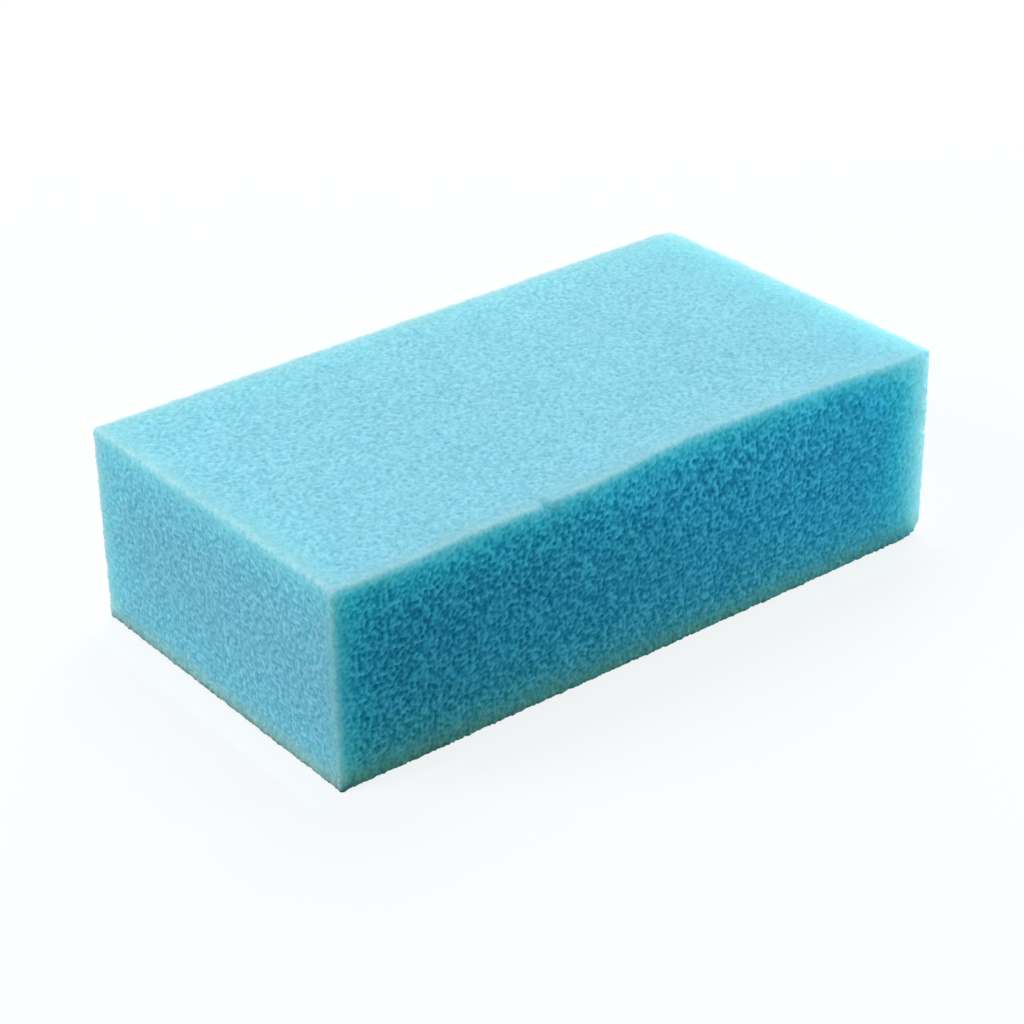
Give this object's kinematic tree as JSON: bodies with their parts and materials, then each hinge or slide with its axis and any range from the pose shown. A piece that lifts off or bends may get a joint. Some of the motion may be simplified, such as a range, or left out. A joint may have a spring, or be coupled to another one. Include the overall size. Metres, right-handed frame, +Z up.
{
  "type": "foam wash block",
  "caption": "Rectangular block of fine-pored open-cell foam, held in the hand to soak up, wash and wipe a car's surface.",
  "frame": {"origin": "on the surface that the block lies on, under the middle of its underside", "axes": "+X along the long side, +Y along the short side of the broad face, +Z up through the thickness"},
  "size_m": [0.2, 0.108, 0.0575],
  "materials": {
    "blue_foam": "matte"
  },
  "bodies": {
    "root": {"foam_block": "blue_foam"}
  },
  "joints": []
}
